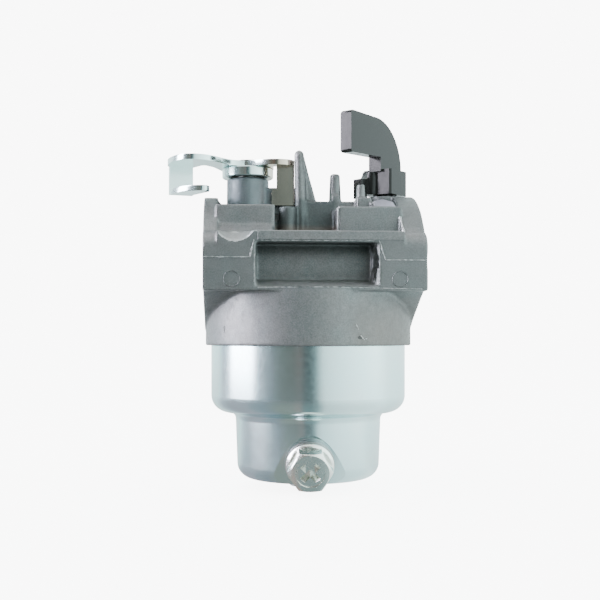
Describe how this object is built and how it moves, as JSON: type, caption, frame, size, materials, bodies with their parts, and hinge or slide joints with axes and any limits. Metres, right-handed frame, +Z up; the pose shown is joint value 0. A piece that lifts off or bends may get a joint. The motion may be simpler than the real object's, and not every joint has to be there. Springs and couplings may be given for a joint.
{
  "type": "carburetor",
  "caption": "Small float-bowl carburetor with a horizontal bore, pivoting throttle and choke levers, a stepped steel bowl with a slanted drain screw, and flanges at both ends.",
  "frame": {"origin": "centre of the bore on the engine flange face", "axes": "+X along the bore from the engine flange to the air cleaner flange, +Y to the fuel inlet, +Z up along the throttle shaft"},
  "size_m": [0.0523, 0.0586, 0.0788],
  "materials": {
    "cast_alloy": "matt die casting",
    "zinc_plated_steel": "bright bluish zinc plating",
    "zinc_plated_lever": "bright zinc plating on stamped steel",
    "zinc_bolt": "zinc plating",
    "washer_aluminium": "plain",
    "gasket_fibre": "red-brown fibre",
    "seal_rubber": "matt",
    "brass": "turned",
    "needle_alloy": "turned",
    "float_plastic": "matt moulded",
    "jet_plastic": "matt moulded",
    "steel": "ground",
    "plate_steel": "satin",
    "felt": "dense felt",
    "black_plastic": "glossy black moulding"
  },
  "bodies": {
    "carburetor": {"carburetor_body": "cast_alloy", "float_bowl": "zinc_plated_steel", "bowl_gasket": "seal_rubber", "bowl_bolt": "zinc_bolt", "bowl_bolt_washer": "gasket_fibre", "drain_bolt": "zinc_bolt", "drain_bolt_washer": "washer_aluminium", "drain_weld_nut": "zinc_plated_steel", "fuel_inlet_nipple": "brass", "needle_seat": "brass", "float_hinge_pin": "steel", "main_nozzle": "brass", "main_jet": "brass", "pilot_jet": "jet_plastic", "pilot_jet_o_ring": "seal_rubber", "throttle_shaft_seal": "felt", "choke_shaft_seal": "felt"},
    "throttle": {"throttle_shaft": "steel", "throttle_plate": "brass", "throttle_plate_screws": "steel", "throttle_collar": "zinc_plated_lever", "throttle_lever": "zinc_plated_lever"},
    "choke": {"choke_lever": "black_plastic", "choke_plate": "plate_steel"},
    "float": {"float": "float_plastic"},
    "needle": {"float_needle": "needle_alloy"}
  },
  "joints": [
    {"name": "throttle_turn", "type": "hinge", "parent": "carburetor", "child": "throttle", "pos_m": [0.0092, 0, 0.0205], "axis": [0, 0, -1], "range_deg": [0, 78]},
    {"name": "choke_turn", "type": "hinge", "parent": "carburetor", "child": "choke", "pos_m": [0.0391, 0, 0.0155], "axis": [0, 0, -1], "range_deg": [0, 78]},
    {"name": "float_tilt", "type": "hinge", "parent": "carburetor", "child": "float", "pos_m": [0.02225, 0.0157, -0.0154], "axis": [1, 0, 0], "range_deg": [0, 8]},
    {"name": "needle_slide", "type": "slide", "parent": "carburetor", "child": "needle", "axis": [0, 0, -1], "range_m": [0, 0.0009]}
  ],
  "couplings": [
    {"joint": "needle_slide", "follows": "float_tilt", "m_per_rad": 0.0061}
  ]
}
